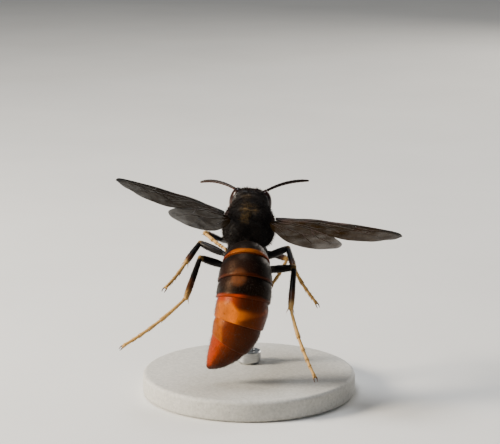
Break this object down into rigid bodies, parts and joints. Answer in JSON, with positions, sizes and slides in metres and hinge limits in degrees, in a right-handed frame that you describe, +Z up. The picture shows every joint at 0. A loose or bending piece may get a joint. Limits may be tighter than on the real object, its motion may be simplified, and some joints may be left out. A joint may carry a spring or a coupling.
{
  "type": "asian hornet model on a display stand",
  "caption": "Life-size asian hornet in hovering flight, wings raised and legs trailing, held by a rod on a round display base.",
  "frame": {"origin": "centre of the base's underside, on the surface that the stand rests on", "axes": "+Y ahead, where the hornet flies; +X to the hornet's right; +Z up"},
  "size_m": [0.0332, 0.0271, 0.0286],
  "materials": {
    "body_black": "velvety black cuticle",
    "band_orange": "smooth cuticle",
    "tail_rust": "smooth cuticle",
    "eye_brown": "glossy",
    "jaw_orange": "smooth",
    "leg_black": "satin cuticle",
    "tarsus_yellow": "satin cuticle",
    "wing_smoke": "smoky membrane",
    "stand_stone": "matte",
    "stand_steel": "brushed"
  },
  "bodies": {
    "root": {"eye_left": "eye_brown", "eye_right": "eye_brown", "femur_fore_left": "leg_black", "femur_fore_right": "leg_black", "femur_hind_left": "leg_black", "femur_hind_right": "leg_black", "femur_mid_left": "leg_black", "femur_mid_right": "leg_black", "flagellum_left": "leg_black", "flagellum_right": "leg_black", "forewing_left": "wing_smoke", "forewing_right": "wing_smoke", "gaster_1": "body_black", "gaster_2": "body_black", "gaster_3": "body_black", "gaster_4": "band_orange", "gaster_5": "tail_rust", "gaster_6": "tail_rust", "head": "body_black", "hindwing_left": "wing_smoke", "hindwing_right": "wing_smoke", "mandible_left": "jaw_orange", "mandible_right": "jaw_orange", "scape_left": "leg_black", "scape_right": "leg_black", "stand_base": "stand_stone", "stand_ferrule": "stand_steel", "stand_rod": "stand_steel", "tarsus_fore_left": "tarsus_yellow", "tarsus_fore_right": "tarsus_yellow", "tarsus_hind_left": "tarsus_yellow", "tarsus_hind_right": "tarsus_yellow", "tarsus_mid_left": "tarsus_yellow", "tarsus_mid_right": "tarsus_yellow", "thorax": "body_black", "tibia_fore_left": "leg_black", "tibia_fore_right": "leg_black", "tibia_hind_left": "leg_black", "tibia_hind_right": "leg_black", "tibia_mid_left": "leg_black", "tibia_mid_right": "leg_black"}
  },
  "joints": []
}
